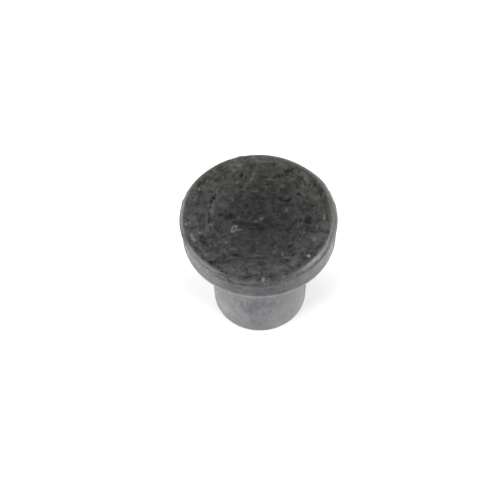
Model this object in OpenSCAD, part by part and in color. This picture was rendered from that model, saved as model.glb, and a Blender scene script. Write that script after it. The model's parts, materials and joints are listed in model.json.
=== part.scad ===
// Press-in drain plug moulded in one piece of solid black rubber: a flat round
// head on a straight cylindrical stem. The plug stands on the end of its stem.
// The origin is the centre of that end face, and +Z runs up the axis to the head.

/* [Head] */
// Diameter of the head
head_d = 25; // [21:0.1:40]
// Thickness of the head at its rim
head_t = 5.6; // [3.6:0.1:12]
// Radius of the rounded edge round the top face
top_edge_r = 1.1; // [0.3:0.05:1.3]
// Radius of the rounded edge round the underside
lower_edge_r = 0.6; // [0.2:0.05:1.1]

/* [Parting line] */
// Radius of the fine bead that the joint of the mould leaves round the rim
bead_r = 0.12; // [0.06:0.01:0.2]
// Distance of the bead below the rounded edge of the top face
bead_drop = 0.15; // [0.15:0.05:0.8]
// How far the bead stands out of the rim
bead_out = 0.06; // [0.02:0.01:0.12]

/* [Stem] */
// Diameter of the stem, a press fit in the drain hole
stem_d = 16.5; // [8:0.1:17]
// Length of the stem below the head
stem_len = 19.1; // [6:0.1:40]
// Radius of the fillet where the stem meets the head
root_fillet_r = 0.6; // [0.2:0.05:0.8]
// Radius of the edge round the end of the stem
tip_edge_r = 0.35; // [0.1:0.05:1]

/* [Hidden] */
$fn = 96;

head_r = head_d / 2;
stem_r = stem_d / 2;
seat_z = stem_len;          // underside of the head
top_z = stem_len + head_t;  // top face of the head

// Half section of a disc from z = low to z = high, with both of its rim edges rounded
module disc_section(r, low, high, low_r, high_r) {
    translate([0, low]) square([r - low_r, low_r]);
    translate([0, low + low_r]) square([r, high - low - low_r - high_r]);
    translate([0, high - high_r]) square([r - high_r, high_r]);
    translate([r - low_r, low + low_r]) circle(r = low_r);
    translate([r - high_r, high - high_r]) circle(r = high_r);
}

// Half section of the head
module head_section() {
    disc_section(head_r, seat_z, top_z, lower_edge_r, top_edge_r);
    translate([head_r + bead_out - bead_r, top_z - top_edge_r - bead_drop]) circle(r = bead_r);
}

// Half section of the stem, which runs up into the head
module stem_section() {
    translate([0, tip_edge_r]) square([stem_r, seat_z]);
    square([stem_r - tip_edge_r, tip_edge_r]);
    translate([stem_r - tip_edge_r, tip_edge_r]) circle(r = tip_edge_r);
}

// Concave fillet between the wall of the stem and the underside of the head
module root_section() {
    difference() {
        translate([stem_r, seat_z - root_fillet_r]) square(root_fillet_r);
        translate([stem_r + root_fillet_r, seat_z - root_fillet_r]) circle(r = root_fillet_r);
    }
}

module plug() {
    color([0.16, 0.16, 0.16])
        rotate_extrude()
            intersection() {
                union() {
                    head_section();
                    stem_section();
                    root_section();
                }
                square([head_d, top_z]);
            }
}

plug();
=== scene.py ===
"""Looks of the drain plug: a one-piece black rubber moulding that stands on its stem.

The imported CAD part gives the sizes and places. This script replaces its node with a finer
mesh of the same half section that carries the relief of the real moulding, gives it its
procedural rubber, and sets up the floor, the lights and the camera.
"""

import json
import math

import bpy
import numpy as np
from mathutils import Matrix, Vector, noise


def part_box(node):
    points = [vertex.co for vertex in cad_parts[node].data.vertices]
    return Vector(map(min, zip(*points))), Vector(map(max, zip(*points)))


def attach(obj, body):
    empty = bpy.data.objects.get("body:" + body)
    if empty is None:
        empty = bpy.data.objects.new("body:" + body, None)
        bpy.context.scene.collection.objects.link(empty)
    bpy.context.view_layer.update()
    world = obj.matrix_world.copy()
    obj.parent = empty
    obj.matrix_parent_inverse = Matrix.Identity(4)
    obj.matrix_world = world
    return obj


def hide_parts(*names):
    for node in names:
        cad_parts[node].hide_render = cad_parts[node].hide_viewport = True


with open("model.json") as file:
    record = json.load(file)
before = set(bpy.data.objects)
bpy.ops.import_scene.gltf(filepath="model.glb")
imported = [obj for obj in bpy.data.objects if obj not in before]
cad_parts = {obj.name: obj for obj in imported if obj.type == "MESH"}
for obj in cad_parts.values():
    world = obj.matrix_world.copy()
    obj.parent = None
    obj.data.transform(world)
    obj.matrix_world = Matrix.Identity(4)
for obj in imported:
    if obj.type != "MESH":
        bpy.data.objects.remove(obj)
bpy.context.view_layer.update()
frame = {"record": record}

MM = 0.001

# ---------------------------------------------------------------- sizes


def mount(name):
    """The record's mount of that name."""
    return next(m for m in frame["record"]["mounts"] if m["name"] == name)


# The fine sizes of the section, which the frame doesn't hold, as in the part's source
TOP_EDGE_R = 1.1 * MM
LOWER_EDGE_R = 0.6 * MM
ROOT_FILLET_R = 0.6 * MM
TIP_EDGE_R = 0.35 * MM
BEAD_R = 0.12 * MM
BEAD_OUT = 0.06 * MM  # how far the parting bead stands out of the rim
BEAD_GAP = 0.15 * MM  # how far it lies below the rounded edge

# The main sizes, from the frame
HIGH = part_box("plug")[1]
TOP_Z = HIGH.z
SEAT_Z = mount("seat")["pos_m"][2]
HEAD_R = HIGH.x - BEAD_OUT
STEM_R = mount("stem")["dims"]["r_mm"] * MM
BEAD_Z = TOP_Z - TOP_EDGE_R - BEAD_GAP

# ---------------------------------------------------------------- half section


def arc(centre_r, centre_z, radius, start, end, steps):
    """Points of an arc in the (r, z) plane; angles in degrees, 0 points away from the axis."""
    angles = np.radians(np.linspace(start, end, steps + 1))
    return [(centre_r + radius * math.cos(a), centre_z + radius * math.sin(a)) for a in angles]


def line(start, end, step):
    """Points between two corners, without the corners, about one step apart."""
    start, end = np.array(start), np.array(end)
    count = max(1, round(math.dist(start, end) / step))
    return [tuple(start + (end - start) * i / count) for i in range(1, count)]


def half_section():
    """The outline of the plug in the (r, z) plane, from the middle of the stem's end
    round the outside to the middle of the top face."""
    bead_centre = HEAD_R + BEAD_OUT - BEAD_R
    bead_half = math.degrees(math.acos((HEAD_R - bead_centre) / BEAD_R))
    stretches = [  # each arc, and the step in mm of the straight line that leads to it
        (0.3, arc(STEM_R - TIP_EDGE_R, TIP_EDGE_R, TIP_EDGE_R, -90, 0, 5)),
        (0.4, arc(STEM_R + ROOT_FILLET_R, SEAT_Z - ROOT_FILLET_R, ROOT_FILLET_R, 180, 90, 5)),
        (0.4, arc(HEAD_R - LOWER_EDGE_R, SEAT_Z + LOWER_EDGE_R, LOWER_EDGE_R, -90, 0, 8)),
        (0.2, arc(bead_centre, BEAD_Z, BEAD_R, -bead_half, bead_half, 5)),
        (0.05, arc(HEAD_R - TOP_EDGE_R, TOP_Z - TOP_EDGE_R, TOP_EDGE_R, 0, 90, 20)),
    ]
    points = [(0.0, 0.0)]
    for step, stretch in stretches:
        points += line(points[-1], stretch[0], step * MM) + stretch
    return np.array(points + line(points[-1], (0.0, TOP_Z), 0.125 * MM) + [(0.0, TOP_Z)])


# ---------------------------------------------------------------- relief

SEGMENTS = 360
FACE_SHIFT = Vector((-0.27, -0.2, 0)) * MM  # the flat of the top face sits off centre
CAP_SHARE = 0.35  # the share of that shift at the parting line, where it makes a fine step
STEP_RISE = 0.2 * MM  # the height of that step
WAVES = (  # the surface's waviness: height, size of its lumps in mm, seed
    (0.012 * MM, 3.0, 1),
    (0.006 * MM, 1.1, 2),
)
TURNED_MARKS = (3.3, 5.8, 8.1, 10.0)  # radii of the clearest turned rings, in mm
RING_DEPTH = 0.008 * MM
RING_WIDTH = 0.22  # mm
RING_LUMPS = 4.0  # size in mm of the noise that fades them in and out
RAGGED = (0.9, 3)  # the parting line's raggedness: size of its lumps in mm, seed
CREVICE_RISE = 0.2 * MM  # how far above the bead the crevice lies
CREVICE_DEPTH = 0.06 * MM
CREVICE_HALF = 0.1 * MM  # half its width
BEAD_ROUGH = 0.05 * MM  # how much the bead varies
SECOND_DROP = 0.14 * MM  # how far a second line lies below the bead
EASED_FROM = 1.9 * MM  # how far below the top face the eased edge begins
EASED_RISE = 0.9 * MM  # and the height over which it sets in
EASED_REACH = 1.2 * TOP_EDGE_R  # how far in from the rim it goes
FULL_OUT = 0.6 * MM  # how far outside the middle of the edge it is fullest
FULL_HALF = 0.4 * MM  # half the width of that
BUMP_HALF = 0.7 * MM  # half the height of the rim's bumps

# Places round the head: degrees to the right of the front, half width, and mostly a size in mm
PARTING_AT = (58, 34)  # where the parting line is clearest
PARTING_RISE = (75, 20, 0.62)  # where it climbs into the rounded edge, and how far
SECOND_LINE = (-20, 28, 0.045)  # where it has a second line under it, and how deep
EASED_EDGE = (-12, 40, 0.09)  # where the edge is rounded further down, and how much
FULL_EDGE = (-65, 45, 0.13)  # where the edge is less rounded, and how much
RIM_BUMPS = (  # where the rim bulges, and how far
    (125, 11, 0.12),
    (-142, 9, -0.06),
    (-167, 2.2, 0.17),
    (-113, 1.6, 0.08),
    (-104, 2.2, 0.13),
)

# ---------------------------------------------------------------- marks

MARK_INSIDE, MARK_OUTSIDE = 0.6, 1.35  # a mark fades out between these shares of its oval
MARK_GAIN = 1.3  # makes up for the strength that raggedness takes from the painted marks
FACE_DEPTH = 0.7 * MM  # how far below the top face its marks reach
PUSHED_ASIDE = (  # how marks are pushed out of shape: how far, size of the lumps in mm, seed
    (0.26, 0.8, 4),
    (0.12, 0.28, 6),
)
UNEVEN = (0.5, 9)  # how their strength varies: size of the lumps in mm, seed
DASHES = (1.1, 8)  # how the dark of the parting line comes and goes: the same
SHADE = 0.8  # how dark it is at its darkest
SHADE_HALF = 0.16 * MM  # half its width

# Marks on the top face: x, y, half length and half width in mm, direction in degrees, strength
DARK_MARKS = (
    # back left
    (-9.7, 5.6, 0.35, 0.2, 20, 0.8),
    (-8.0, 7.2, 0.6, 0.35, -50, 0.35),
    (-6.6, 6.6, 0.4, 0.2, 70, 0.5),
    (-4.1, 7.4, 0.5, 0.15, 90, 0.45),
    (-2.7, 7.8, 0.55, 0.25, 80, 0.7),
    (-2.0, 7.2, 0.35, 0.2, 80, 0.55),
    (-0.95, 9.1, 0.5, 0.3, 20, 0.55),
    (-0.75, 9.7, 0.35, 0.2, 90, 0.45),
    (-1.5, 5.1, 0.4, 0.35, 0, 0.5),
    (-2.9, 5.1, 0.45, 0.3, 60, 0.4),
    (-2.5, 4.15, 0.6, 0.14, 8, 0.6),
    (-5.1, 5.7, 0.35, 0.12, 0, 0.4),
    (-9.3, 4.5, 0.4, 0.12, 80, 0.4),
    (-7.5, 4.15, 0.35, 0.12, 0, 0.6),
    (-7.15, 3.4, 0.65, 0.24, 80, 0.7),
    (-7.5, 2.3, 0.6, 0.18, 76, 0.65),
    (-7.8, 1.2, 0.5, 0.16, 85, 0.55),
    (-10.8, 3.4, 0.22, 0.1, 90, 0.6),
    (-0.7, 3.0, 0.7, 0.45, 10, 0.4),
    (-2.9, 3.4, 0.5, 0.3, 30, 0.35),
    (-2.1, 1.45, 0.3, 0.2, 20, 0.7),
    (-2.5, 2.4, 0.5, 0.1, 50, 0.5),
    (-4.3, 1.7, 0.35, 0.1, 0, 0.5),
    (-4.3, 1.25, 0.35, 0.1, 0, 0.5),
    # back right
    (4.8, 8.15, 0.7, 0.4, 15, 0.7),
    (5.55, 8.6, 0.35, 0.22, 30, 0.6),
    (4.6, 7.5, 0.3, 0.15, 90, 0.6),
    (3.1, 7.1, 0.95, 0.45, 25, 0.45),
    (1.9, 8.2, 0.35, 0.1, 80, 0.35),
    (0.6, 7.9, 0.4, 0.1, 80, 0.35),
    (1.3, 7.2, 0.3, 0.1, 0, 0.6),
    (2.7, 9.65, 0.28, 0.1, 0, 0.5),
    (4.7, 9.95, 0.6, 0.14, -20, 0.4),
    (1.1, 5.55, 0.95, 0.14, 0, 0.7),
    (5.2, 5.5, 0.4, 0.15, 10, 0.35),
    (2.3, 4.2, 0.35, 0.12, 0, 0.7),
    (1.65, 4.8, 0.18, 0.08, 0, 0.6),
    (3.5, 3.0, 0.45, 0.15, 0, 0.65),
    (3.1, 3.6, 0.35, 0.1, 0, 0.5),
    (4.8, 2.45, 0.65, 0.26, 25, 0.85),
    (6.55, 3.45, 0.55, 0.22, -50, 0.7),
    (7.4, 1.6, 0.6, 0.2, -25, 0.5),
    (8.9, 1.25, 0.9, 0.14, 15, 0.5),
    (10.0, 3.4, 0.45, 0.16, 90, 0.6),
    (9.2, 5.5, 0.45, 0.22, 20, 0.45),
    (0.5, 1.2, 0.4, 0.25, 90, 0.35),
    (7.5, 0.45, 1.5, 0.25, 0, 0.4),
    # middle
    (-6.0, -0.1, 0.6, 0.14, 0, 0.6),
    (-4.5, -0.55, 0.7, 0.45, 80, 0.6),
    (-5.2, -0.8, 0.5, 0.45, 0, 0.35),
    (0.6, 0.05, 0.7, 0.3, 0, 0.4),
    (1.3, -1.2, 0.14, 0.14, 0, 0.7),
    (2.0, -1.2, 0.2, 0.12, 90, 0.7),
    (2.4, -1.2, 0.2, 0.12, 90, 0.7),
    (1.9, -0.7, 0.28, 0.1, 0, 0.7),
    (3.1, -0.55, 0.4, 0.12, 10, 0.6),
    (3.7, -1.05, 0.6, 0.18, 0, 0.5),
    (7.75, -1.3, 0.9, 0.6, 90, 0.55),
    (6.65, -1.5, 0.5, 0.2, 90, 0.5),
    (8.9, -1.9, 0.4, 0.25, 80, 0.5),
    (9.1, -0.2, 0.4, 0.1, 90, 0.5),
    (-7.9, -1.2, 0.8, 0.15, 88, 0.7),
    (-7.75, -3.2, 0.8, 0.12, 85, 0.45),
    (-1.2, -2.1, 1.9, 0.35, -5, 0.45),
    (0.6, -2.95, 0.8, 0.4, 0, 0.5),
    (-1.0, -3.0, 0.3, 0.3, 0, 0.5),
    (3.0, -2.4, 1.1, 0.24, 5, 0.5),
    (4.6, -3.3, 0.45, 0.28, 80, 0.45),
    (10.2, -3.9, 0.3, 0.2, 0, 0.6),
    (10.75, -3.8, 0.35, 0.28, 70, 0.6),
    (-7.9, -0.1, 0.9, 0.14, 90, 0.45),
    # front left
    (-6.3, -2.4, 0.4, 0.15, 0, 0.4),
    (-8.7, -4.8, 1.0, 0.45, -55, 0.38),
    (-5.4, -4.5, 0.6, 0.14, 5, 0.5),
    (-6.15, -5.8, 0.2, 0.12, 0, 0.8),
    (-0.9, -5.15, 0.35, 0.1, 0, 0.5),
    (-4.7, -6.5, 0.45, 0.1, 0, 0.4),
    (-3.9, -7.8, 1.0, 0.2, -4, 0.65),
    (-2.7, -8.1, 0.28, 0.1, 0, 0.8),
    (-0.7, -8.4, 1.6, 0.1, 0, 0.7),
    (-1.0, -6.9, 0.5, 0.4, 90, 0.35),
    (-7.2, -9.0, 0.6, 0.28, 0, 0.65),
    (-5.3, -9.1, 0.7, 0.4, 0, 0.5),
    (-2.1, -9.0, 0.28, 0.1, 0, 0.5),
    (-1.8, -11.65, 0.8, 0.14, 0, 0.75),
    (-5.0, -10.95, 0.3, 0.14, 0, 0.7),
    (-5.65, -10.7, 0.25, 0.13, 0, 0.6),
    (-9.95, -6.2, 0.45, 0.2, -60, 0.5),
    (-11.4, -1.2, 0.35, 0.12, 90, 0.5),
    (-9.2, 1.5, 3.5, 1.0, 85, 0.12),
    (-10.5, -2.6, 1.8, 0.7, 104, 0.16),
    # front right
    (4.9, -6.3, 0.5, 0.3, 5, 0.7),
    (2.2, -6.0, 0.5, 0.35, 20, 0.5),
    (1.3, -6.9, 0.7, 0.1, 0, 0.5),
    (6.3, -4.4, 0.35, 0.16, 80, 0.5),
    (0.4, -9.5, 0.8, 0.55, -20, 0.38),
    (4.4, -9.0, 0.65, 0.3, -40, 0.5),
    (5.5, -8.1, 0.55, 0.1, 0, 0.5),
    (6.9, -8.7, 0.35, 0.22, 0, 0.6),
    (7.0, -6.6, 0.2, 0.1, 0, 0.7),
    (8.8, -7.2, 0.35, 0.2, 60, 0.6),
    (9.4, -6.4, 0.35, 0.2, 60, 0.4),
    (9.0, -6.35, 0.45, 0.15, 30, 0.5),
    (6.0, -9.9, 0.35, 0.18, 80, 0.5),
    (1.8, -11.4, 0.7, 0.25, 90, 0.35),
    (4.0, -11.3, 0.2, 0.15, 0, 0.5),
)
LINT = (
    (0.5, -12.1, 0.26, 0.28, 0, 0.4),
    (7.55, -8.15, 0.26, 0.24, 0, 0.55),
    (-4.15, -3.42, 0.3, 0.2, 10, 0.45),
    (-11.55, -1.95, 0.16, 0.18, 0, 0.4),
    (-9.55, 4.85, 0.26, 0.13, 80, 0.35),
    (-4.15, 2.6, 0.18, 0.18, 0, 0.3),
    (-6.35, 4.95, 0.14, 0.14, 0, 0.16),
    (-0.4, -5.6, 0.14, 0.14, 0, 0.22),
)
PALE_MARKS = (
    # scuffs at the left edge and below it, partly a painted highlight
    (-10.3, -4.4, 0.75, 0.26, -60, 0.26),
    (-10.0, -4.95, 0.35, 0.22, -55, 0.34),
    (-8.7, -6.9, 1.2, 0.2, -50, 0.1),
    (-10.9, -1.7, 0.4, 0.12, 90, 0.12),
    (-9.9, -1.2, 0.6, 0.1, 90, 0.1),
    # back left
    (-2.0, 10.25, 0.35, 0.15, 0, 0.12),
    (-3.0, 9.7, 0.4, 0.18, 10, 0.1),
    (-3.8, 8.7, 0.35, 0.3, 0, 0.12),
    (-0.8, 7.7, 0.6, 0.2, 88, 0.13),
    (-1.05, 6.7, 0.55, 0.2, 55, 0.12),
    (-1.8, 6.0, 0.5, 0.14, 15, 0.1),
    (-3.4, 6.2, 0.5, 0.18, 45, 0.1),
    (-2.4, 7.3, 0.16, 0.16, 0, 0.12),
    (-2.5, 4.6, 0.4, 0.14, 20, 0.09),
    (-4.6, 5.4, 0.32, 0.28, 0, 0.13),
    (-6.7, 4.6, 0.6, 0.12, 80, 0.1),
    (-8.5, 6.3, 0.3, 0.2, 80, 0.1),
    (-5.4, 7.9, 0.55, 0.1, 0, 0.07),
    (-5.3, 3.8, 0.4, 0.12, 90, 0.07),
    (-10.5, 2.7, 0.35, 0.2, 30, 0.08),
    (-6.2, 1.6, 0.9, 0.3, 5, 0.06),
    (-7.3, 0.7, 1.1, 0.35, 85, 0.08),
    (-9.0, 0.6, 0.5, 0.45, 0, 0.07),
    (-0.5, 4.3, 0.6, 0.15, 0, 0.08),
    (-0.8, 0.2, 0.5, 0.2, 90, 0.05),
    # back right
    (4.4, 0.5, 0.5, 0.28, 80, 0.1),
    (1.8, 6.5, 0.5, 0.2, 0, 0.07),
    (3.5, 9.8, 0.45, 0.2, 0, 0.1),
    (0.9, 10.3, 0.7, 0.18, 0, 0.08),
    (5.9, 6.7, 0.45, 0.2, 10, 0.07),
    (7.75, 6.6, 0.55, 0.15, 90, 0.14),
    (7.95, 5.3, 0.9, 0.12, 88, 0.09),
    (7.0, 5.05, 0.28, 0.22, 0, 0.13),
    (8.6, 5.3, 0.4, 0.1, 80, 0.14),
    (9.4, 4.3, 0.35, 0.15, -30, 0.12),
    (7.4, 3.4, 0.28, 0.25, 0, 0.1),
    (9.8, 2.9, 0.45, 0.12, 90, 0.12),
    (9.0, 3.1, 0.7, 0.45, 90, 0.05),
    (4.0, 5.3, 0.55, 0.2, 0, 0.05),
    (1.6, 2.4, 0.45, 0.1, 0, 0.07),
    # painted highlight along the edge, at the right and the back
    (11.3, 1.2, 1.6, 0.22, 90, 0.1),
    (10.9, 3.5, 1.4, 0.22, 107, 0.1),
    (10.2, 5.3, 1.2, 0.2, 117, 0.1),
    (11.2, -1.6, 1.2, 0.2, 82, 0.08),
    (11.6, 0.0, 1.3, 0.28, 90, 0.12),
    (3.1, 10.9, 1.8, 0.18, -15, 0.07),
    (0.0, 11.3, 1.8, 0.18, 0, 0.07),
    (-2.9, 10.95, 1.5, 0.16, 14, 0.06),
    # middle
    (0.4, -0.95, 0.26, 0.24, 0, 0.13),
    (-0.4, -1.5, 0.6, 0.16, 15, 0.1),
    (-3.1, -0.8, 0.38, 0.25, 0, 0.08),
    (-7.3, -2.0, 0.55, 0.12, 5, 0.1),
    (4.4, -1.7, 1.3, 0.12, 0, 0.05),
    (6.2, -2.4, 0.6, 0.12, 85, 0.08),
    (10.3, -1.1, 0.5, 0.13, 80, 0.32),
    (10.6, -2.0, 0.4, 0.12, 60, 0.24),
    (9.2, -2.9, 0.28, 0.14, 90, 0.14),
    # front
    (-5.1, -5.5, 0.4, 0.3, 0, 0.08),
    (-9.1, -3.5, 0.25, 0.12, 0, 0.12),
    (-4.2, -6.8, 0.65, 0.12, 0, 0.06),
    (-0.4, -7.9, 1.2, 0.16, 0, 0.08),
    (-1.6, -9.55, 0.8, 0.16, 0, 0.08),
    (-1.7, -10.4, 0.35, 0.12, 90, 0.07),
    (-0.25, -11.2, 0.3, 0.12, 90, 0.12),
    (2.4, -4.9, 0.35, 0.14, -25, 0.1),
    (4.7, -5.6, 0.35, 0.16, 0, 0.08),
    (2.2, -7.4, 0.28, 0.22, 80, 0.11),
    (3.6, -7.9, 0.5, 0.14, -65, 0.13),
    (4.3, -8.4, 0.45, 0.12, 0, 0.12),
    (5.3, -7.6, 0.8, 0.16, 30, 0.09),
    (8.7, -5.3, 0.7, 0.5, 70, 0.09),
    (9.3, -5.0, 1.4, 0.45, 62, 0.06),
    (7.1, -3.9, 0.16, 0.13, 0, 0.13),
    (5.5, -8.8, 0.6, 0.4, 0, 0.09),
    (3.5, -9.6, 0.55, 0.15, -10, 0.09),
    (8.3, -8.6, 1.4, 0.14, 43, 0.1),
    (2.9, -10.4, 1.8, 0.8, 15, 0.05),
    (5.6, -9.0, 1.6, 0.8, 32, 0.07),
    (10.2, -2.7, 1.3, 0.6, 76, 0.07),
)
CURL = (-3.9, -2.95, 0.62, 0.33, 66)  # lint curl: centre, half length and width, direction
CURL_TAIL = (-3.1, -3.15, 0.62, 0.17, 14)

# Marks on the side, seen from the front: mm to the right, height, then as above
HEAD_STAINS_AND_SHADE = (
    (-4.8, 23.6, 0.7, 0.25, 105, 0.85),
    (-7.1, 23.4, 0.4, 0.2, 0, 0.4),
    (-4.1, 23.1, 0.3, 0.15, 80, 0.45),
    (-2.7, 23.4, 0.6, 0.2, 0, 0.5),
    (-0.5, 23.4, 0.9, 0.22, 15, 0.55),
    (1.6, 23.5, 0.4, 0.25, 80, 0.6),
    (1.7, 23.2, 0.8, 0.12, 0, 0.35),
    (2.9, 23.9, 0.35, 0.25, 80, 0.75),
    (5.7, 22.9, 0.4, 0.15, -30, 0.4),
    (7.0, 23.8, 0.3, 0.3, 80, 0.3),
    (-3.9, 21.9, 1.0, 0.45, 0, 0.3),
    (-5.8, 21.5, 0.35, 0.3, 0, 0.3),
    (-3.9, 20.4, 0.5, 0.3, 0, 0.4),
    (-1.9, 21.4, 1.2, 0.5, 0, 0.25),
    (1.4, 21.6, 1.6, 0.6, 0, 0.18),
    (0.3, 20.6, 1.3, 0.4, 0, 0.2),
    (3.8, 20.4, 0.3, 0.2, 0, 0.5),
    (3.1, 20.5, 0.35, 0.2, 0, 0.35),
    (4.9, 20.6, 0.35, 0.2, 0, 0.35),
    (6.6, 20.7, 0.3, 0.2, 0, 0.25),
    (5.5, 21.6, 0.8, 0.3, 0, 0.15),
    (-11.9, 21.5, 0.8, 0.12, 70, 0.4),
    (-9.2, 22.0, 0.6, 0.12, 70, 0.3),
    (-9.8, 22.9, 0.4, 0.2, 60, 0.2),
    (-8.6, 20.8, 0.5, 0.12, 60, 0.2),
    (8.5, 23.7, 0.5, 0.16, -5, 0.6),
    (9.5, 23.65, 0.45, 0.12, -10, 0.5),
    (10.4, 23.5, 0.4, 0.1, -20, 0.5),
    (12.0, 20.5, 0.5, 0.15, 100, 0.3),
    # painted shade: these three darken a band just below the parting line at the front, where the
    # surface turns up towards the dark overhead
    (-4.6, 23.15, 3.4, 0.35, 0, 0.45),
    (1.4, 23.15, 3.2, 0.35, 0, 0.4),
    (-5.4, 22.7, 1.5, 0.5, 0, 0.4),
    (8.9, 24.3, 0.22, 0.2, 60, 0.5),
    (10.2, 24.3, 0.3, 0.3, 90, 0.3),
    (2.6, 24.0, 2.2, 0.35, 0, 0.35),
    (-9.8, 24.15, 2.2, 0.35, 0, 0.14),
    # these two darken the lower sides of the head, at the left and the right
    (-13.5, 19.75, 4.0, 0.6, 0, 0.3),
    (13.2, 19.75, 4.0, 0.6, 0, 0.3),
)
HEAD_SCUFFS_AND_HIGHLIGHTS = (
    # painted highlight: the first two lie on the rounded edge at the front right, where it
    # catches the light
    (9.4, 24.36, 1.5, 0.14, 0, 0.16),
    (9.2, 24.1, 2.0, 0.24, 0, 0.13),
    (-8.8, 22.2, 3.2, 1.8, 0, 0.09),
    (8.8, 22.0, 2.4, 1.6, 0, 0.05),
    (-5.2, 22.6, 0.8, 0.35, 0, 0.06),
    (-6.9, 22.5, 0.6, 0.15, 60, 0.08),
    (-3.4, 22.5, 0.5, 0.15, 35, 0.09),
    (-2.2, 22.7, 0.6, 0.14, 20, 0.1),
    (-1.3, 22.4, 0.4, 0.12, 60, 0.08),
    (-3.6, 23.7, 0.35, 0.15, 0, 0.08),
    (1.5, 22.7, 0.5, 0.25, 0, 0.06),
    (3.4, 23.3, 0.25, 0.4, 0, 0.12),
    (5.0, 22.7, 0.8, 0.4, 0, 0.07),
    (6.8, 22.6, 0.5, 0.14, -50, 0.08),
    (-9.8, 21.3, 0.9, 0.16, 65, 0.14),
    (-8.0, 21.8, 0.5, 0.14, 60, 0.08),
    (-9.0, 20.6, 0.4, 0.12, 60, 0.1),
    (11.3, 22.7, 0.9, 0.4, -10, 0.1),
    (8.0, 22.9, 0.8, 0.2, -10, 0.06),
    # painted highlights: these three brighten the sides of the head, where they catch the light
    # at a glancing angle
    (14.6, 23.2, 2.0, 0.8, 0, 0.14),
    (14.9, 22.5, 1.6, 1.1, 0, 0.12),
    (-15.2, 23.5, 1.8, 0.8, 0, 0.055),
)
STEM_STAINS = (
    (-3.25, 8.8, 1.1, 0.22, 80, 0.32),
    (-2.2, 9.7, 0.9, 0.14, 88, 0.25),
    (-4.4, 9.9, 0.7, 0.14, 85, 0.22),
    (-2.0, 7.1, 1.3, 0.75, 5, 0.26),
    (-0.9, 9.3, 1.9, 1.0, 90, 0.22),
    (-0.7, 7.6, 0.6, 0.1, 90, 0.15),
    (0.55, 9.8, 1.1, 0.3, 90, 0.27),
    (1.3, 8.9, 0.8, 0.5, -20, 0.28),
    (2.05, 9.9, 1.1, 0.22, 90, 0.25),
    (2.5, 9.6, 0.8, 0.14, 88, 0.25),
    (1.6, 7.0, 0.5, 0.35, 100, 0.3),
    (0.6, 6.2, 1.0, 0.3, 90, 0.18),
    (1.3, 5.9, 0.5, 0.1, 85, 0.25),
    (-4.4, 5.4, 0.5, 0.12, 85, 0.22),
    (6.2, 3.4, 0.9, 0.25, 125, 0.18),
    (0.4, 2.2, 2.2, 1.4, 0, 0.16),
    (-0.8, 4.2, 2.6, 2.0, 0, 0.12),
    (1.8, 1.6, 0.7, 0.3, 0, 0.2),
    (-3.1, 1.3, 0.5, 0.2, 0, 0.18),
)
STEM_SCUFFS = (
    (-2.6, 9.5, 1.1, 0.28, 96, 0.1),
    (-1.8, 10.0, 0.5, 0.24, 70, 0.09),
    (-3.9, 8.2, 0.9, 0.25, 80, 0.1),
    (-4.95, 9.8, 0.6, 0.2, 75, 0.12),
    (-4.15, 6.7, 0.5, 0.25, 90, 0.13),
    (-4.1, 5.9, 0.6, 0.1, 88, 0.1),
    (-6.0, 6.5, 2.5, 1.2, 80, 0.05),
    (3.15, 9.5, 0.6, 0.28, 78, 0.1),
    (2.5, 10.6, 0.4, 0.18, 60, 0.08),
    (1.35, 10.6, 0.4, 0.24, 60, 0.08),
    (1.25, 7.3, 0.5, 0.2, 72, 0.11),
    (1.9, 8.3, 0.3, 0.14, 60, 0.07),
    (0.0, 6.3, 0.7, 0.1, 90, 0.1),
    (-0.5, 4.9, 1.0, 0.3, 0, 0.05),
    (1.6, 4.2, 0.7, 0.3, 90, 0.08),
    (-2.7, 4.4, 1.5, 0.7, 90, 0.07),
    (5.4, 3.8, 0.5, 0.13, 112, 0.15),
    (7.5, 3.6, 0.9, 0.2, 110, 0.1),
    (-7.4, 3.0, 2.0, 1.2, 80, 0.1),
)

# Nicks in the side of the head: as above, with their depth in mm
NICKS = (
    (-4.63, 23.5, 0.62, 0.17, 116, 0.15),
    (-6.5, 23.25, 0.62, 0.17, 165, 0.08),
    (-2.67, 23.22, 0.35, 0.13, 15, 0.06),
    (-3.3, 22.25, 0.3, 0.12, 0, 0.05),
)

# ---------------------------------------------------------------- shape and marks of the mesh


def smooth_noise(points, size, seed):
    """Smooth noise from -1 to 1 at each point; size is the size of its lumps in mm."""
    shift = Vector((seed * 17.3, seed * 5.1, seed * 9.7))
    scale = 1 / (size * MM)
    return np.array([noise.noise(Vector(p) * scale + shift) for p in points])


def bell(values, centre, half_width):
    """A smooth bump of height 1 round the centre."""
    return np.exp(-(((values - centre) / half_width) ** 2))


def around(angles, where, half_width):
    """A smooth bump of height 1 round a place on the circle, in degrees."""
    return bell((angles - where + 180) % 360 - 180, 0, half_width)


def eased(share):
    """The share held between 0 and 1, with soft ends."""
    share = np.clip(share, 0, 1)
    return share * share * (3 - 2 * share)


def from_front(points):
    """Degrees to the right of the front at each point."""
    return (np.degrees(np.arctan2(points[:, 1], points[:, 0])) + 270) % 360 - 180


def unrolled(points, radius):
    """Places on the side as seen from the front: to the right and height, in mm."""
    return np.stack([np.radians(from_front(points)) * radius, points[:, 2]], 1) / MM


def on_rim(points):
    """Whether each point is in the outermost millimetre of the head."""
    return np.hypot(points[:, 0], points[:, 1]) > HEAD_R - MM


def strength_at(where, marks):
    """How strong the strongest of a list of soft oval marks is at each place, given in mm."""
    strongest = np.zeros(len(where))
    for x, y, half_length, half_width, direction, strength in marks:
        a = math.radians(direction)
        away = where - (x, y)
        reach = np.hypot(away @ (math.cos(a) / half_length, math.sin(a) / half_length),
                         away @ (-math.sin(a) / half_width, math.cos(a) / half_width))
        fade = eased((MARK_OUTSIDE - reach) / (MARK_OUTSIDE - MARK_INSIDE))
        strongest = np.maximum(strongest, strength * fade)
    return strongest


def parting_height(angle):
    """Height of the crevice of the parting line at each angle from the front."""
    where, half_width, rise = PARTING_RISE
    return BEAD_Z + CREVICE_RISE + rise * MM * around(angle, where, half_width)


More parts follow.
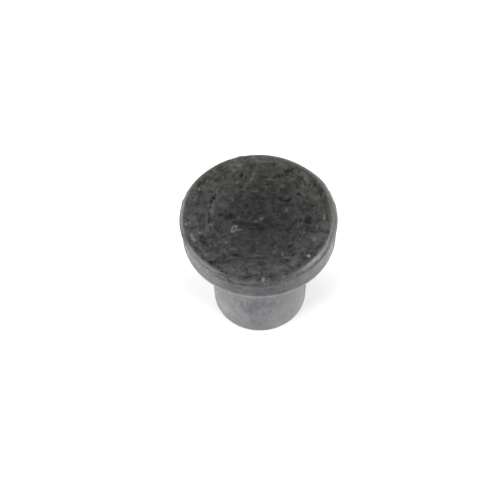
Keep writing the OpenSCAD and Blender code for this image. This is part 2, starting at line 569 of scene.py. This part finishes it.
def relief(points, normals):
    """How far each point of the smooth moulding is raised along its normal, in metres."""
    radius = np.hypot(points[:, 0], points[:, 1])
    height = points[:, 2]
    angle = from_front(points)
    facing_up = np.clip((normals[:, 2] - 0.6) / 0.4, 0, 1)
    rim = on_rim(points)
    ragged = smooth_noise(points, *RAGGED)

    # the moulded surface
    raised = sum(size * smooth_noise(points, lumps, seed) for size, lumps, seed in WAVES)
    for ring in TURNED_MARKS:
        fade = 0.6 + 0.4 * smooth_noise(points, RING_LUMPS, ring)
        raised -= RING_DEPTH * facing_up * fade * bell(radius / MM, ring, RING_WIDTH)

    # the parting line
    crevice = bell(height, parting_height(angle), CREVICE_HALF)
    crevice *= (0.25 + 0.95 * around(angle, *PARTING_AT)) * np.clip(0.6 + 0.9 * ragged, 0, 1.4)
    raised -= CREVICE_DEPTH * rim * crevice
    raised += BEAD_ROUGH * rim * bell(height, BEAD_Z, BEAD_R) * ragged
    where, half_width, size = SECOND_LINE
    second = bell(height, BEAD_Z - SECOND_DROP, BEAD_R) * np.clip(0.6 + 1.5 * ragged, 0, 1.6)
    raised -= size * MM * rim * second * around(angle, where, half_width)

    # the rim and its edge
    raised -= MM * rim * strength_at(unrolled(points, HEAD_R), NICKS)
    where, half_width, size = EASED_EDGE
    climb = np.clip((height - TOP_Z + EASED_FROM) / EASED_RISE, 0, 1) ** 2
    climb *= (1 - normals[:, 2] ** 2) * (radius > HEAD_R - EASED_REACH)
    raised -= size * MM * climb * around(angle, where, half_width)
    bulging = rim * bell(height, BEAD_Z + CREVICE_RISE, BUMP_HALF)
    for where, half_width, size in RIM_BUMPS:
        raised += size * MM * bulging * around(angle, where, half_width)
    where, half_width, size = FULL_EDGE
    full = bell(radius - HEAD_R + TOP_Z - height, FULL_OUT, FULL_HALF) * (height > BEAD_Z)
    raised += size * MM * full * around(angle, where, half_width)
    return raised


def off_centre(points):
    """How far each point moves sideways: not at all below the parting line, and by
    FACE_SHIFT at the top."""
    share = CAP_SHARE * np.clip((points[:, 2] - BEAD_Z) / STEP_RISE - 0.3, 0, 1)
    share += (1 - CAP_SHARE) * eased((points[:, 2] - TOP_Z + TOP_EDGE_R) / TOP_EDGE_R)
    return share[:, None] * np.array(FACE_SHIFT)


def raggedness(points):
    """How far marks are pushed aside at each point, in mm, and how strong they are there."""
    aside = sum(
        reach * np.stack([smooth_noise(points, size, seed + axis) for axis in (0, 1)], 1)
        for reach, size, seed in PUSHED_ASIDE
    )
    return aside, np.clip(1 + 0.8 * smooth_noise(points, *UNEVEN), 0.4, 1.4)


def marked(points, ragged, on_face, on_head, on_stem):
    """How strongly each point is marked, by a list for the top face, one for the head's
    side and one for the stem."""
    aside, uneven = ragged
    height = points[:, 2]
    zones = (
        (on_face, points[:, :2] / MM, height > TOP_Z - FACE_DEPTH),
        (on_head, unrolled(points, HEAD_R), on_rim(points) & (height > SEAT_Z)),
        (on_stem, unrolled(points, STEM_R), height < SEAT_Z),
    )
    return sum(np.minimum(MARK_GAIN * strength_at(places + aside, marks) * uneven, 1) * there
               for marks, places, there in zones)


def parting_shade(points):
    """How dark the crevice of the parting line is at each point."""
    angle = from_front(points)
    dashes = np.clip(0.45 + 1.3 * smooth_noise(points, *DASHES), 0, 1)
    deeper = 0.15 + 0.85 * around(angle, *PARTING_AT)
    line_at = bell(points[:, 2], parting_height(angle), SHADE_HALF) * on_rim(points)
    return SHADE * dashes * deeper * line_at


def store(mesh, name, strength):
    """Stores a strength from 0 to 1 for each vertex, for the material to read."""
    layer = mesh.attributes.new(name, "FLOAT", "POINT")
    layer.data.foreach_set("value", np.clip(strength, 0, 1))


def section_normals(section):
    """Outward normals of the half section, one per point."""
    along = np.gradient(section, axis=0)
    normals = np.stack([along[:, 1], -along[:, 0]], 1)
    normals[0], normals[-1] = (0, -1), (0, 1)
    return normals / np.linalg.norm(normals, axis=1)[:, None]


def turned(pairs):
    """Pairs in the (r, z) plane turned about Z: for each pair, a ring of points."""
    turns = np.radians(np.arange(SEGMENTS) * 360 / SEGMENTS)
    x = np.outer(pairs[:, 0], np.cos(turns))
    y = np.outer(pairs[:, 0], np.sin(turns))
    return np.stack([x, y, np.repeat(pairs[:, 1:], SEGMENTS, 1)], 2).reshape(-1, 3)


def revolve(name, section):
    """A closed mesh: the half section turned about Z, with its relief and its marks."""
    points = turned(section[1:-1])
    normals = turned(section_normals(section)[1:-1])
    raised = relief(points, normals)
    raised[points[:, 2] < TIP_EDGE_R] = 0  # the end of the stem stays flat on the floor
    points = points + normals * raised[:, None] + off_centre(points)

    foot, crown = len(points), len(points) + 1  # the vertices in the middle of each end
    crown_z = TOP_Z + raised[-SEGMENTS:].mean()
    vertices = np.vstack([points, [(0, 0, 0), (FACE_SHIFT.x, FACE_SHIFT.y, crown_z)]])
    last_ring = foot - SEGMENTS
    faces = []
    for j in range(SEGMENTS):
        k = (j + 1) % SEGMENTS
        faces.append((foot, k, j))
        faces += [(ring + j, ring + k, ring + SEGMENTS + k, ring + SEGMENTS + j)
                  for ring in range(0, last_ring, SEGMENTS)]
        faces.append((crown, last_ring + j, last_ring + k))
    mesh = bpy.data.meshes.new(name)
    mesh.from_pydata(vertices.tolist(), [], faces)
    mesh.shade_smooth()

    ragged = raggedness(vertices)
    # dark marks: real stains together with painted shade, and then the parting line's painted
    # shade
    stains_and_shade = marked(vertices, ragged, DARK_MARKS, HEAD_STAINS_AND_SHADE, STEM_STAINS)
    # pale marks: real scuffs and dust, with painted highlights among them
    scuffs_and_highlights = marked(vertices, ragged, PALE_MARKS, HEAD_SCUFFS_AND_HIGHLIGHTS, STEM_SCUFFS)
    store(mesh, "stains_and_shade", np.maximum(stains_and_shade, parting_shade(vertices)))
    store(mesh, "scuffs_and_highlights", scuffs_and_highlights)
    piece = bpy.data.objects.new(name, mesh)
    bpy.context.scene.collection.objects.link(piece)
    return piece


# ---------------------------------------------------------------- shader helpers


def fill_ramp(ramp, stops):
    """Gives a colour ramp its stops, each a place and a grey."""
    while len(ramp.elements) < len(stops):
        ramp.elements.new(0.5)
    for element, (place, grey) in zip(ramp.elements, stops):
        element.position = place
        element.color = (grey, grey, grey, 1)


class Shader:
    """Short calls that add and wire the nodes of one material."""

    def __init__(self, name):
        self.material = bpy.data.materials.new(name)
        self.material.use_nodes = True
        self.tree = self.material.node_tree
        self.surface = self.tree.nodes["Principled BSDF"]

    def node(self, kind, inputs=(), **settings):
        made = self.tree.nodes.new("ShaderNode" + kind)
        for key, value in settings.items():
            setattr(made, key, value)
        for key, value in dict(inputs).items():
            self.put(made.inputs[key], value)
        return made

    def put(self, socket, value):
        if isinstance(value, bpy.types.NodeSocket):
            self.tree.links.new(value, socket)
        else:
            socket.default_value = value

    def math(self, operation, a, b=0.0):
        return self.node("Math", {0: a, 1: b}, operation=operation).outputs[0]

    def mul(self, *factors):
        product = factors[0]
        for factor in factors[1:]:
            product = self.math("MULTIPLY", product, factor)
        return product

    def add(self, *terms):
        total = terms[0]
        for term in terms[1:]:
            total = self.math("ADD", total, term)
        return total

    def larger(self, a, b):
        return self.math("MAXIMUM", a, b)

    def vector(self, operation, a, b=(0, 0, 0)):
        return self.node("VectorMath", {0: a, 1: b}, operation=operation).outputs[0]

    def length(self, a):
        return self.node("VectorMath", {0: a}, operation="LENGTH").outputs["Value"]

    def scaled(self, a, factor):
        return self.node("VectorMath", {0: a, "Scale": factor}, operation="SCALE").outputs[0]

    def tinted(self, factor, colour, tint):
        """The colour, multiplied by the tint as far as the factor goes."""
        return self.mix(factor, colour, self.vector("MULTIPLY", colour, tint))

    def distance(self, a, b):
        return self.length(self.vector("SUBTRACT", a, b))

    def ranged(self, value, low, high, to_low=0.0, to_high=1.0):
        """The value's range from low to high, carried over softly to another range."""
        made = self.node("MapRange", {0: value, 1: low, 2: high, 3: to_low, 4: to_high},
                         interpolation_type="SMOOTHSTEP")
        return made.outputs[0]

    def band(self, value, centre, half_width):
        """1 at the centre, falling to 0 at the half width."""
        away = self.math("ABSOLUTE", self.math("SUBTRACT", value, centre))
        return self.ranged(away, half_width, 0.0)

    def noise(self, where, scale, detail=2.0, roughness=0.5, distortion=0.0):
        made = self.node("TexNoise", {"Vector": where, "Scale": scale, "Detail": detail,
                                      "Roughness": roughness, "Distortion": distortion})
        return made.outputs["Fac"]

    def mix(self, factor, a, b):
        return self.node("Mix", {0: factor, 6: a, 7: b}, data_type="RGBA").outputs[2]

    def ramp(self, factor, stops):
        made = self.node("ValToRGB", {"Fac": factor})
        fill_ramp(made.color_ramp, stops)
        return made.outputs["Color"]

    def oval(self, where, x, y, half_length, half_width, direction):
        """Distance from (x, y), such that it is 1 all along the outline of an oval."""
        local = self.node("Mapping", {
            "Vector": where,
            "Location": (x, y, 0),
            "Rotation": (0, 0, math.radians(direction)),
            "Scale": (half_length, half_width, 1),
        }, vector_type="TEXTURE")
        return self.length(local.outputs[0])

    def stored(self, name):
        """The numbers that the mesh holds under that name."""
        return self.node("Attribute", attribute_name=name).outputs["Fac"]

    def strongest(self, where, marks):
        """How strong the strongest of a list of soft oval marks is at each point."""
        total = 0.0
        for *place, strength in marks:
            reach = self.oval(where, *place)
            mark = self.ranged(reach, MARK_OUTSIDE, MARK_INSIDE, 0.0, strength)
            total = self.larger(total, mark)
        return total


# ---------------------------------------------------------------- rubber

# Greys along a ramp
TOP_GREYS = ((0.0, 0.0125), (0.2, 0.0165), (0.4, 0.0215), (0.6, 0.0255), (0.9, 0.038))
WALL_GREYS = ((0.36, 0.023), (0.64, 0.048))
STEM_GREYS = ((0.3, 0.071), (0.7, 0.146))
WORN_AND_HIGHLIT_GREY = (0.13, 0.13, 0.13, 1)
DUST_AND_HIGHLIGHT = (0.2, 0.2, 0.195)  # what the strongest of pale marks adds: dust, and painted highlights

# Tints, and the places that have them: a point, and how far they reach from it, in mm. The olive
# and the cool tint are painted tints of the light, warm from behind and the right, cool from the
# front
OLIVE = (1.0, 1.0, 0.88)
OLIVE_AT = (12.0, 1.5, TOP_Z / MM, 6.0)
COOL_LIGHT_TINT = (1.0, 0.975, 1.095)
COOL_LIGHT_AT = ((-1.0, -8.2, 7.0, 6.8), (1.8, -12.4, 21.0, 4.0))
FAINT_COOL_LIGHT_AT = (5.0, -6.5, 8.0, 4.0)
OILY = (0.99, 1.005, 0.93)
OILY_AT = (4.9, -6.6, 2.8, 2.3)
DARKEST_AT = (0.8, -0.6, 0)  # where the top face is darkest, in mm
CALM_AT = (-0.5, -6.5, TOP_Z / MM)  # where it is least mottled, in mm


def rubber():
    """Black moulded rubber: dark and mottled on the top face, greyer on the side of the
    head and greyest on the stem, with turned marks, scuffs, specks and painted highlights on the
    top face, painted shade and painted highlights on the side of the head, painted shade on the
    stem, and painted tints of the light."""
    s = Shader("black_rubber")
    mm = s.scaled(s.node("TexCoord").outputs["Object"], 1 / MM)
    xyz = s.node("SeparateXYZ", {0: mm})
    height = xyz.outputs["Z"]
    flat = s.vector("MULTIPLY", mm, (1, 1, 0))
    radius = s.length(flat)
    from_face = s.vector("SUBTRACT", flat, tuple(c / MM for c in FACE_SHIFT))
    face_radius = s.length(from_face)
    turn = s.scaled(s.vector("NORMALIZE", from_face), 2.4)
    top_z, seat_z = TOP_Z / MM, SEAT_Z / MM

    def ring_noise(seed, per_mm):
        """Noise drawn out along the turned rings."""
        where = s.node("CombineXYZ", {"Z": s.add(s.mul(face_radius, per_mm), seed)}).outputs[0]
        return s.noise(s.vector("ADD", turn, where), 1.0, 3.0, 0.6, 0.4)

    def near(x, y, z, reach):
        """1 close to a place, falling to 0 that far away, in mm."""
        return s.ranged(s.distance(mm, (x, y, z)), reach, 0.3 * reach)

    mottle = s.noise(mm, 1.0, 4.0, 0.68, 0.5)
    clouds = s.noise(mm, 0.35, 2.0, 0.5)
    grain = s.noise(mm, 3.2, 2.0, 0.6)
    lumps = s.noise(mm, 0.7, 2.0, 0.6, 0.3)
    streaks = s.noise(s.vector("MULTIPLY", mm, (1.0, 1.0, 0.45)), 2.6, 3.0, 0.6)
    dark_arcs = s.ranged(ring_noise(0.0, 3.0), 0.55, 0.70)
    pale_arcs = s.ranged(ring_noise(40.0, 3.6), 0.56, 0.74)
    stains_and_shade, scuffs_and_highlights = s.stored("stains_and_shade"), s.stored("scuffs_and_highlights")

    # where the top face and the stem lie
    on_top = s.ranged(s.add(face_radius, s.mul(clouds, 1.2)), 12.6, 11.95)
    on_top = s.mul(on_top, s.ranged(height, top_z - 0.9, top_z - 0.3))
    on_stem = s.mul(s.ranged(radius, STEM_R / MM + 0.9, STEM_R / MM + 0.3),
                    s.ranged(height, seat_z + 0.3, seat_z - 0.3))

    # top face
    across = s.math("DIVIDE", s.distance(flat, DARKEST_AT), HEAD_R / MM)
    texture = s.add(s.ranged(mottle, 0.38, 0.62, -0.4, 0.4), s.ranged(grain, 0.3, 0.7, -0.2, 0.2),
                    s.ranged(clouds, 0.3, 0.7, -0.2, 0.2), s.mul(dark_arcs, -0.5),
                    s.mul(pale_arcs, 0.6))
    calm = s.ranged(s.distance(mm, CALM_AT), 2.0, 6.0, 0.6, 1.0)
    top = s.scaled(s.ramp(across, TOP_GREYS), s.larger(s.add(s.mul(texture, calm), 1.07), 0.08))
    # painted tint of the warm light from behind and the right: the back half of the top face and
    # its right edge olive
    olive = s.larger(s.ranged(xyz.outputs["Y"], -1.0, 9.0), near(*OLIVE_AT))
    top = s.tinted(olive, top, OLIVE)

    # side of the head
    wall = s.ramp(s.add(s.mul(lumps, 0.8), s.mul(mottle, 0.2)), WALL_GREYS)
    # the rounded top edge paler: partly wear, partly a painted highlight
    wall = s.scaled(wall, s.add(s.mul(s.band(height, top_z - 0.5, 0.7), 0.35), 1.0))
    # the lower edge of the head lighter: partly wear, partly a painted highlight
    worn_and_highlit = s.mul(s.band(height, seat_z + 0.62, 0.62), s.ranged(clouds, 0.3, 0.6, 0.7, 1.0))
    wall = s.mix(worn_and_highlit, wall, WORN_AND_HIGHLIT_GREY)

    # stem
    stem = s.ramp(s.add(s.mul(mottle, 0.5), s.mul(clouds, 0.5)), STEM_GREYS)
    stem = s.scaled(stem, s.ranged(streaks, 0.3, 0.7, 0.88, 1.12))
    # painted shade: the stem darker towards the head above it, lighter towards the floor
    stem = s.scaled(stem, s.ranged(height, 2.0, 12.0, 1.0, 0.72))

    # the whole, with its tints
    base = s.mix(on_stem, wall, stem)
    # painted tint of the cool light from the front, on the front of the stem and of the head
    cool_light = s.larger(*(near(*place) for place in COOL_LIGHT_AT))
    cool_light = s.larger(cool_light, s.mul(near(*FAINT_COOL_LIGHT_AT), 0.5))
    base = s.tinted(cool_light, base, COOL_LIGHT_TINT)
    base = s.tinted(near(*OILY_AT), base, OILY)
    base = s.mix(on_top, base, top)

    # dark and pale marks, among them painted shade and painted highlights; the lint on the top
    # face alone
    base = s.scaled(base, s.math("SUBTRACT", 1.0, s.mul(stains_and_shade, 0.9)))
    loop = s.oval(flat, *CURL)
    loop = s.mul(s.ranged(loop, 1.55, 1.0), s.ranged(loop, 0.3, 0.9, 0.03, 0.35))
    curl = s.larger(loop, s.ranged(s.oval(flat, *CURL_TAIL), 1.5, 0.4, 0.0, 0.24))
    lint = s.larger(curl, s.strongest(flat, LINT))
    above = s.ranged(height, top_z - 0.6, top_z - 0.5)
    pale = s.math("MINIMUM", s.larger(scuffs_and_highlights, lint), s.add(above, scuffs_and_highlights))
    dust_and_highlight = s.node("CombineXYZ", dict(enumerate(DUST_AND_HIGHLIGHT))).outputs[0]
    s.put(s.surface.inputs["Base Color"], s.vector("ADD", base, s.scaled(dust_and_highlight, pale)))

    # gloss and fine bumps
    rough = s.ranged(mottle, 0.25, 0.75, 0.22, 0.34)
    glancing = s.ranged(s.node("LayerWeight", {0: 0.5}).outputs["Facing"], 0.86, 0.95)
    rough = s.add(rough, s.mul(on_top, 0.16), s.mul(on_stem, 0.08), s.mul(glancing, 0.3))
    s.put(s.surface.inputs["Roughness"], rough)
    s.surface.inputs["Specular IOR Level"].default_value = 0.26
    bumps = s.add(s.mul(mottle, 0.5), s.mul(grain, 0.25), s.mul(pale_arcs, 0.4))
    bumps = s.mul(bumps, s.add(s.mul(on_top, 0.85), 0.15))
    bump = s.node("Bump", {"Strength": 0.5, "Distance": 0.05 * MM, "Height": bumps})
    s.put(s.surface.inputs["Normal"], bump.outputs[0])
    return s.material


# ---------------------------------------------------------------- the set

FLOOR_HALF = 0.42
CENTRE = Vector((0, 0, TOP_Z / 2))  # the plug's middle, which the lights point at
SKY = ((0.0, 1.3), (0.3, 1.1), (0.6, 0.35), (1.0, 0.25))  # greys from the horizon to overhead
SOFTBOX_DISTANCE = 0.6
SOFTBOXES = (  # name, degrees to the right of the camera's side, elevation, width, power
    ("softbox_left", -72, 20, 0.54, 6.2),
    ("softbox_right", 69, 20, 0.47, 4.3),
    ("softbox_back_left", -125, 18, 0.35, 1.9),
    ("softbox_back_right", 104, 22, 0.36, 2.0),
)
CAMERA_ELEVATION = 57.825
CAMERA_DISTANCE = 150 * MM
CAMERA_ASIDE, CAMERA_ABOVE = -1.592 * MM, 0.79 * MM  # from CENTRE to the middle of the view
CAMERA_ROLL = -1.835
CAMERA_LENS = 63.41


def toward(azimuth, elevation):
    """The direction from the plug to a place round it. Azimuth 0 is the camera's side."""
    a, e = math.radians(azimuth), math.radians(elevation)
    return Vector((math.sin(a) * math.cos(e), -math.cos(a) * math.cos(e), math.sin(e)))


def floor():
    """A plain white floor."""
    low, high = -FLOOR_HALF, FLOOR_HALF
    corners = [(low, low, 0), (high, low, 0), (high, high, 0), (low, high, 0)]
    mesh = bpy.data.meshes.new("floor")
    mesh.from_pydata(corners, [], [(0, 1, 2, 3)])
    plane = bpy.data.objects.new("floor", mesh)
    bpy.context.scene.collection.objects.link(plane)
    s = Shader("white_floor")
    s.surface.inputs["Base Color"].default_value = (0.88, 0.88, 0.88, 1)
    s.surface.inputs["Roughness"].default_value = 0.9
    s.surface.inputs["Specular IOR Level"].default_value = 0.0
    mesh.materials.append(s.material)


def softbox(name, azimuth, elevation, width, power):
    """A square area light that points at the plug."""
    away = toward(azimuth, elevation)
    data = bpy.data.lights.new(name, "AREA")
    data.shape = "SQUARE"
    data.size = width
    data.energy = power
    light = bpy.data.objects.new(name, data)
    light.location = CENTRE + away * SOFTBOX_DISTANCE
    light.rotation_mode = "QUATERNION"
    light.rotation_quaternion = (-away).to_track_quat("-Z", "Y")
    bpy.context.scene.collection.objects.link(light)


def surroundings():
    """A studio that is white at the horizon and darker overhead."""
    world = bpy.data.worlds.new("studio")
    world.use_nodes = True
    bpy.context.scene.world = world
    tree = world.node_tree
    where = tree.nodes.new("ShaderNodeTexCoord")
    split = tree.nodes.new("ShaderNodeSeparateXYZ")
    ramp = tree.nodes.new("ShaderNodeValToRGB")
    tree.links.new(where.outputs["Generated"], split.inputs[0])
    tree.links.new(split.outputs["Z"], ramp.inputs["Fac"])
    tree.links.new(ramp.outputs["Color"], tree.nodes["Background"].inputs["Color"])
    fill_ramp(ramp.color_ramp, SKY)


def camera():
    """The camera at the photo's angle: above the front, looking down at the head."""
    back = toward(0, CAMERA_ELEVATION)
    up = toward(180, 90 - CAMERA_ELEVATION)
    place = CENTRE + back * CAMERA_DISTANCE
    aim = CENTRE + Vector((CAMERA_ASIDE, 0, 0)) + up * CAMERA_ABOVE
    forward = (aim - place).normalized()
    side = forward.cross(Vector((0, 0, 1))).normalized()
    over = side.cross(forward)
    roll = math.radians(CAMERA_ROLL)
    rolled = side * math.cos(roll) + over * math.sin(roll)
    over = over * math.cos(roll) - side * math.sin(roll)
    data = bpy.data.cameras.new("camera")
    data.sensor_width = 36
    data.lens = CAMERA_LENS
    data.clip_start = 0.01
    seen = bpy.data.objects.new("camera", data)
    bpy.context.scene.collection.objects.link(seen)
    seen.matrix_world = Matrix((
        (rolled.x, over.x, -forward.x, place.x),
        (rolled.y, over.y, -forward.y, place.y),
        (rolled.z, over.z, -forward.z, place.z),
        (0, 0, 0, 1),
    ))
    bpy.context.scene.camera = seen


# ---------------------------------------------------------------- making it

plug = revolve("plug_moulding", half_section())
plug.data.materials.append(rubber())
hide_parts("plug")
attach(plug, "root")

floor()
surroundings()
for box in SOFTBOXES:
    softbox(*box)
camera()
bpy.context.scene.view_settings.view_transform = "Standard"
bpy.context.scene.view_settings.look = "None"
